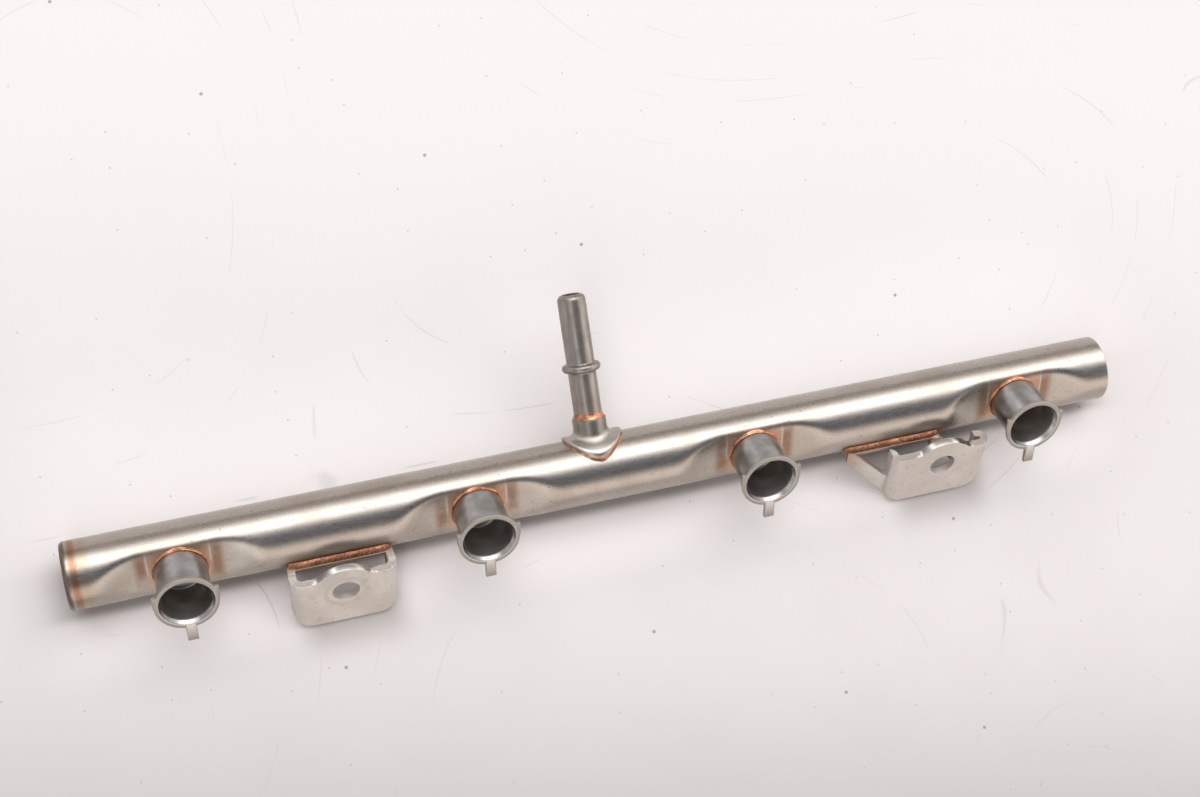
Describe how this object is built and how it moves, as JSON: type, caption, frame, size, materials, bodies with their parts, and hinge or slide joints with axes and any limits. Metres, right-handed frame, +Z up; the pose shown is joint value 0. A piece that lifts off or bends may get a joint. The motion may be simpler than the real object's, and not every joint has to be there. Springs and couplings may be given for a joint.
{
  "type": "fuel rail",
  "caption": "Straight stainless fuel rail tube with copper-brazed injector cups along it, an angled inlet spigot with a rolled bead, and bolt-on brackets.",
  "frame": {"origin": "middle of the overall box, on the table plane the rail rests on", "axes": "+X along the tube, with the two-armed skewed bracket at the +X end, +Z up off the table, +Y toward the inlet spigot; the cups point forward (-Y) and up"},
  "size_m": [0.358, 0.0896, 0.0351],
  "materials": {
    "tube_steel": "satin drawn stainless tube, long soft reflections",
    "cup_steel": "stainless, bright turned inside, heat tinted outside",
    "cap_steel": "satin stainless",
    "saddle_steel": "pressed stainless, satin",
    "spigot_steel": "stainless, grey-brown heat tint",
    "bracket_steel": "matt beige stainless plate with polished sheared edges",
    "copper": "oven-brazed copper, rough along the brackets and bright round the cups"
  },
  "bodies": {
    "root": {"rail_tube": "tube_steel", "end_cap_left": "cap_steel", "end_braze_left": "copper", "end_cap_right": "cap_steel", "end_braze_right": "copper", "injector_cup_1": "cup_steel", "cup_braze_1": "copper", "injector_cup_2": "cup_steel", "cup_braze_2": "copper", "injector_cup_3": "cup_steel", "cup_braze_3": "copper", "injector_cup_4": "cup_steel", "cup_braze_4": "copper", "inlet_saddle": "saddle_steel", "saddle_braze": "copper", "inlet_spigot": "spigot_steel", "spigot_braze": "copper", "bracket_left": "bracket_steel", "bracket_braze_left": "copper", "bracket_right": "bracket_steel", "bracket_braze_right": "copper"}
  },
  "joints": []
}
